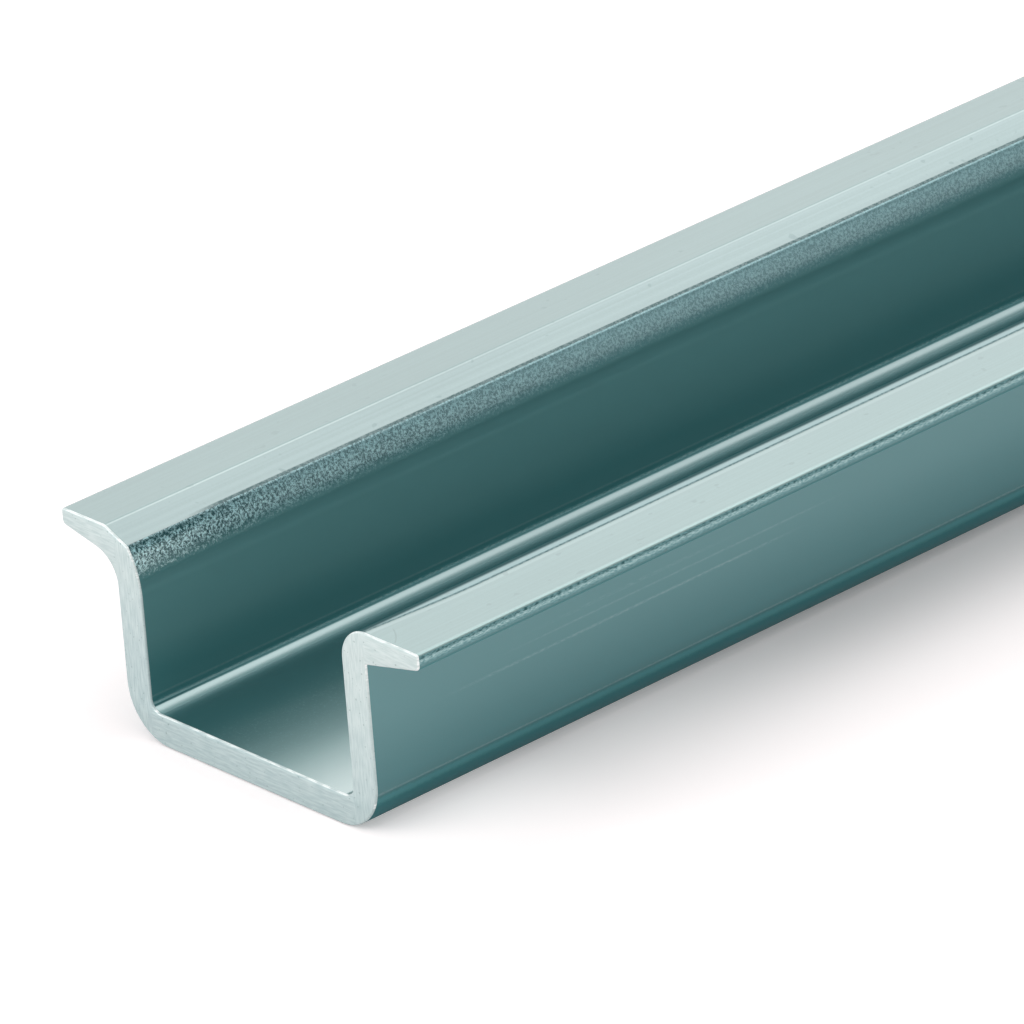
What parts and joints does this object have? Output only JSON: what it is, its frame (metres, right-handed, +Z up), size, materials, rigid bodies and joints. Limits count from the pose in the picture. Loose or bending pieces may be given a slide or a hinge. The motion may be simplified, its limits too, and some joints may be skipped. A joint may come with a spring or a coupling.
{
  "type": "din rail",
  "caption": "Deep top-hat mounting rail of thick rolled steel, unperforated, that terminal blocks and switchgear clip onto.",
  "frame": {"origin": "middle of the rail's length and width, on the underside of its floor", "axes": "+Y along the rail, +Z up out of the open channel, +X across it towards the side with the round bend"},
  "size_m": [0.035, 0.5, 0.015],
  "materials": {
    "rail": "rolled steel, passivated, with a bare sawn end; cool blue-green tone"
  },
  "bodies": {
    "root": {"rail": "rail"}
  },
  "joints": []
}
